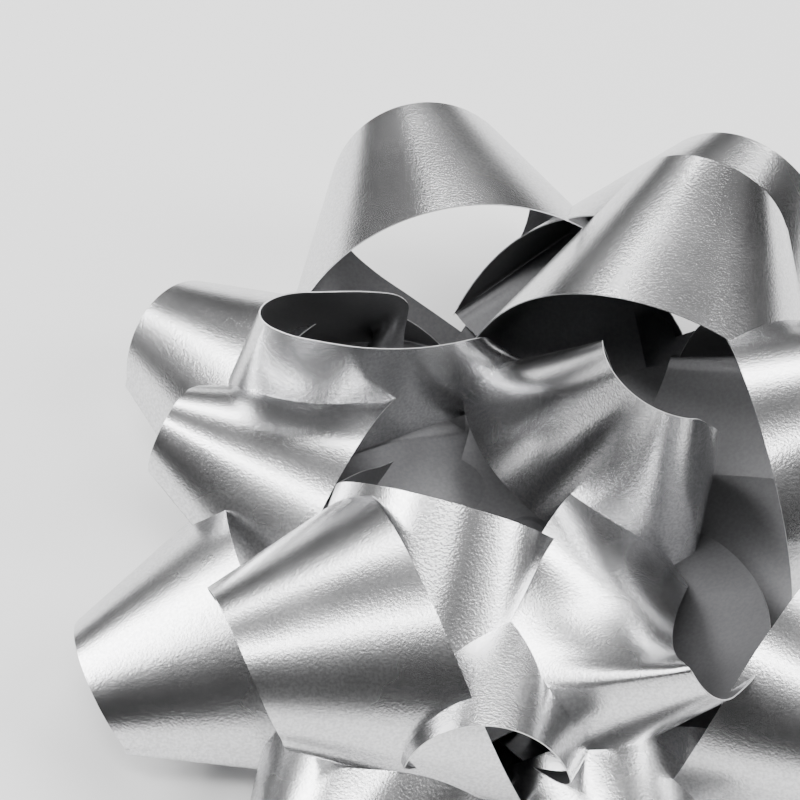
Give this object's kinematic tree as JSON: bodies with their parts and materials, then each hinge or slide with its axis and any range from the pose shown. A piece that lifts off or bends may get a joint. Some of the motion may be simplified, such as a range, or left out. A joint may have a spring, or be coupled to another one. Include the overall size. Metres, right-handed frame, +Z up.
{
  "type": "gift bow",
  "caption": "Metallic film gift bow: twisted cone-shaped ribbon loops pinned on a card disc, with a foam adhesive pad and a release liner beneath.",
  "frame": {"origin": "centre of the pad, on the underside of the release liner, where the bow rests", "axes": "+Z up out of the parcel through the pin, +X along the liner's pull tab, +Y towards the back of the bow"},
  "size_m": [0.0977, 0.095, 0.0358],
  "materials": {
    "film": "satin metallised plastic film, bright outside, dull grey inside",
    "card": "uncoated white-grey card",
    "foam": "white foam with adhesive on both faces",
    "liner_paper": "smooth silicone-coated paper",
    "pin_plastic": "grey moulded plastic"
  },
  "bodies": {
    "bow": {"ribbon_strip_1": "film", "ribbon_strip_2": "film", "ribbon_strip_3": "film", "ribbon_strip_4": "film", "ribbon_strip_5": "film", "ribbon_strip_6": "film", "ribbon_strip_7": "film", "ribbon_strip_8": "film", "ribbon_strip_9": "film", "card_disc": "card", "foam_adhesive_pad": "foam", "pin": "pin_plastic"},
    "liner": {"release_liner": "liner_paper"}
  },
  "joints": [
    {"name": "liner_slide", "type": "slide", "parent": "bow", "child": "liner", "axis": [1, 0, 0], "range_m": [0, 0.05]}
  ]
}
